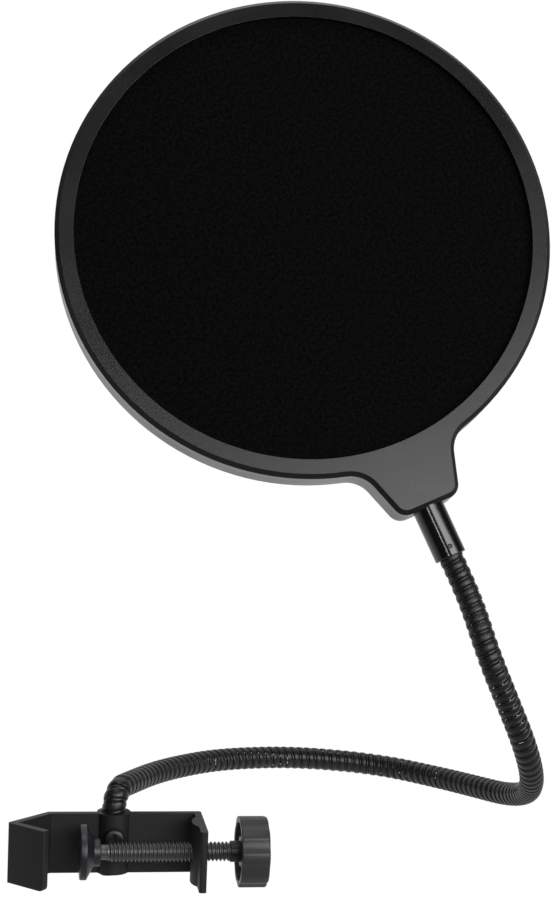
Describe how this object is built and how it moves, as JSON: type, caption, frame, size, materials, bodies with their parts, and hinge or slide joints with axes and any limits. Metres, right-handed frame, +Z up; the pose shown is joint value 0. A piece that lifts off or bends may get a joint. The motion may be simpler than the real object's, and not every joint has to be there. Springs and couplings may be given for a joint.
{
  "type": "pop filter",
  "caption": "Clamp-on pop filter: round double-mesh screen on a gooseneck, held by a V-jaw screw clamp for a microphone stand tube.",
  "frame": {"origin": "axis of the stand tube held in the V-jaw, at the clamp bracket's mid-height", "axes": "+Z up the stand tube, +X along the clamp screw from the jaw to its knob, +Y from the clamp towards the web that carries the gooseneck"},
  "size_m": [0.1774, 0.121, 0.2914],
  "materials": {
    "bracket": "satin",
    "plain_steel": "satin",
    "black_screws": "satin",
    "pad_metal": "satin",
    "screw_steel": "satin",
    "knob_plastic": "satin",
    "insert_metal": "satin",
    "shell_plastic": "satin",
    "mesh_fabric": "matte",
    "hoop_plastic": "matte",
    "ferrule_metal": "gloss",
    "neck_wire": "satin",
    "spring_wire": "satin"
  },
  "bodies": {
    "clamp": {"clamp_bracket": "bracket", "neck_base_plug": "plain_steel", "neck_screw": "black_screws", "neck_wrap_01": "neck_wire", "neck_spring_01": "spring_wire"},
    "pad": {"pressure_pad": "pad_metal"},
    "screw": {"clamp_screw": "screw_steel", "pad_clip": "plain_steel", "knob": "knob_plastic", "knob_insert": "insert_metal"},
    "neck_2": {"neck_wrap_02": "neck_wire", "neck_spring_02": "spring_wire"},
    "neck_3": {"neck_wrap_03": "neck_wire", "neck_spring_03": "spring_wire"},
    "neck_4": {"neck_wrap_04": "neck_wire", "neck_spring_04": "spring_wire"},
    "neck_5": {"neck_wrap_05": "neck_wire", "neck_spring_05": "spring_wire"},
    "neck_6": {"neck_wrap_06": "neck_wire", "neck_spring_06": "spring_wire"},
    "neck_7": {"neck_wrap_07": "neck_wire", "neck_spring_07": "spring_wire"},
    "neck_8": {"neck_wrap_08": "neck_wire", "neck_spring_08": "spring_wire"},
    "neck_9": {"neck_wrap_09": "neck_wire", "neck_spring_09": "spring_wire"},
    "head": {"neck_wrap_10": "neck_wire", "neck_spring_10": "spring_wire", "ferrule": "ferrule_metal", "neck_top_plug": "plain_steel", "ferrule_pin": "plain_steel", "front_shell": "shell_plastic", "rear_shell": "shell_plastic", "front_mesh": "mesh_fabric", "rear_mesh": "mesh_fabric", "mesh_hoop": "hoop_plastic", "shell_screws": "black_screws"}
  },
  "joints": [
    {"name": "pad_slide", "type": "slide", "parent": "clamp", "child": "pad", "axis": [1, 0, 0], "range_m": [-0.00818, 0.00379]},
    {"name": "screw_spin", "type": "hinge", "parent": "pad", "child": "screw", "pos_m": [0.03, 0, 0], "axis": [1, 0, 0], "range_deg": [-2320, 1075]},
    {"name": "neck_bend_1", "type": "hinge", "parent": "clamp", "child": "neck_2", "pos_m": [0.02825, 0.0286, 0.01625], "axis": [-0.8747, 0.4536, -0.1708], "range_deg": [-10, 10]},
    {"name": "neck_bend_2", "type": "hinge", "parent": "neck_2", "child": "neck_3", "pos_m": [0.0485, 0.05675, 0.014], "axis": [-0.0531, -0.033, -0.998], "range_deg": [-10, 10]},
    {"name": "neck_bend_3", "type": "hinge", "parent": "neck_3", "child": "neck_4", "pos_m": [0.07525, 0.07525, 0.01175], "axis": [-0.0931, 0.0259, -0.9953], "range_deg": [-10, 10]},
    {"name": "neck_bend_4", "type": "hinge", "parent": "neck_4", "child": "neck_5", "pos_m": [0.107, 0.083, 0.00875], "axis": [-0.1009, -0.071, -0.9924], "range_deg": [-10, 10]},
    {"name": "neck_bend_5", "type": "hinge", "parent": "neck_5", "child": "neck_6", "pos_m": [0.13325, 0.072, 0.0075], "axis": [-0.1127, -0.1326, -0.9847], "range_deg": [-10, 10]},
    {"name": "neck_bend_6", "type": "hinge", "parent": "neck_6", "child": "neck_7", "pos_m": [0.152, 0.03725, 0.0105], "axis": [-0.4314, -0.2654, -0.8622], "range_deg": [-10, 10]},
    {"name": "neck_bend_7", "type": "hinge", "parent": "neck_7", "child": "neck_8", "pos_m": [0.1565, -0.00425, 0.02325], "axis": [-0.7621, -0.1601, -0.6274], "range_deg": [-10, 10]},
    {"name": "neck_bend_8", "type": "hinge", "parent": "neck_8", "child": "neck_9", "pos_m": [0.1425, -0.027, 0.0525], "axis": [0.8982, -0.0905, 0.4301], "range_deg": [-10, 10]},
    {"name": "neck_bend_9", "type": "hinge", "parent": "neck_9", "child": "head", "pos_m": [0.13058, -0.02682, 0.07993], "axis": [0.1186, 0.9026, -0.4137], "range_deg": [-10, 10]}
  ],
  "couplings": [
    {"joint": "screw_spin", "follows": "pad_slide", "rad_per_m": 4947.4},
    {"joint": "neck_bend_2", "follows": "neck_bend_1", "ratio": 1},
    {"joint": "neck_bend_5", "follows": "neck_bend_4", "ratio": 1},
    {"joint": "neck_bend_7", "follows": "neck_bend_6", "ratio": 1}
  ]
}
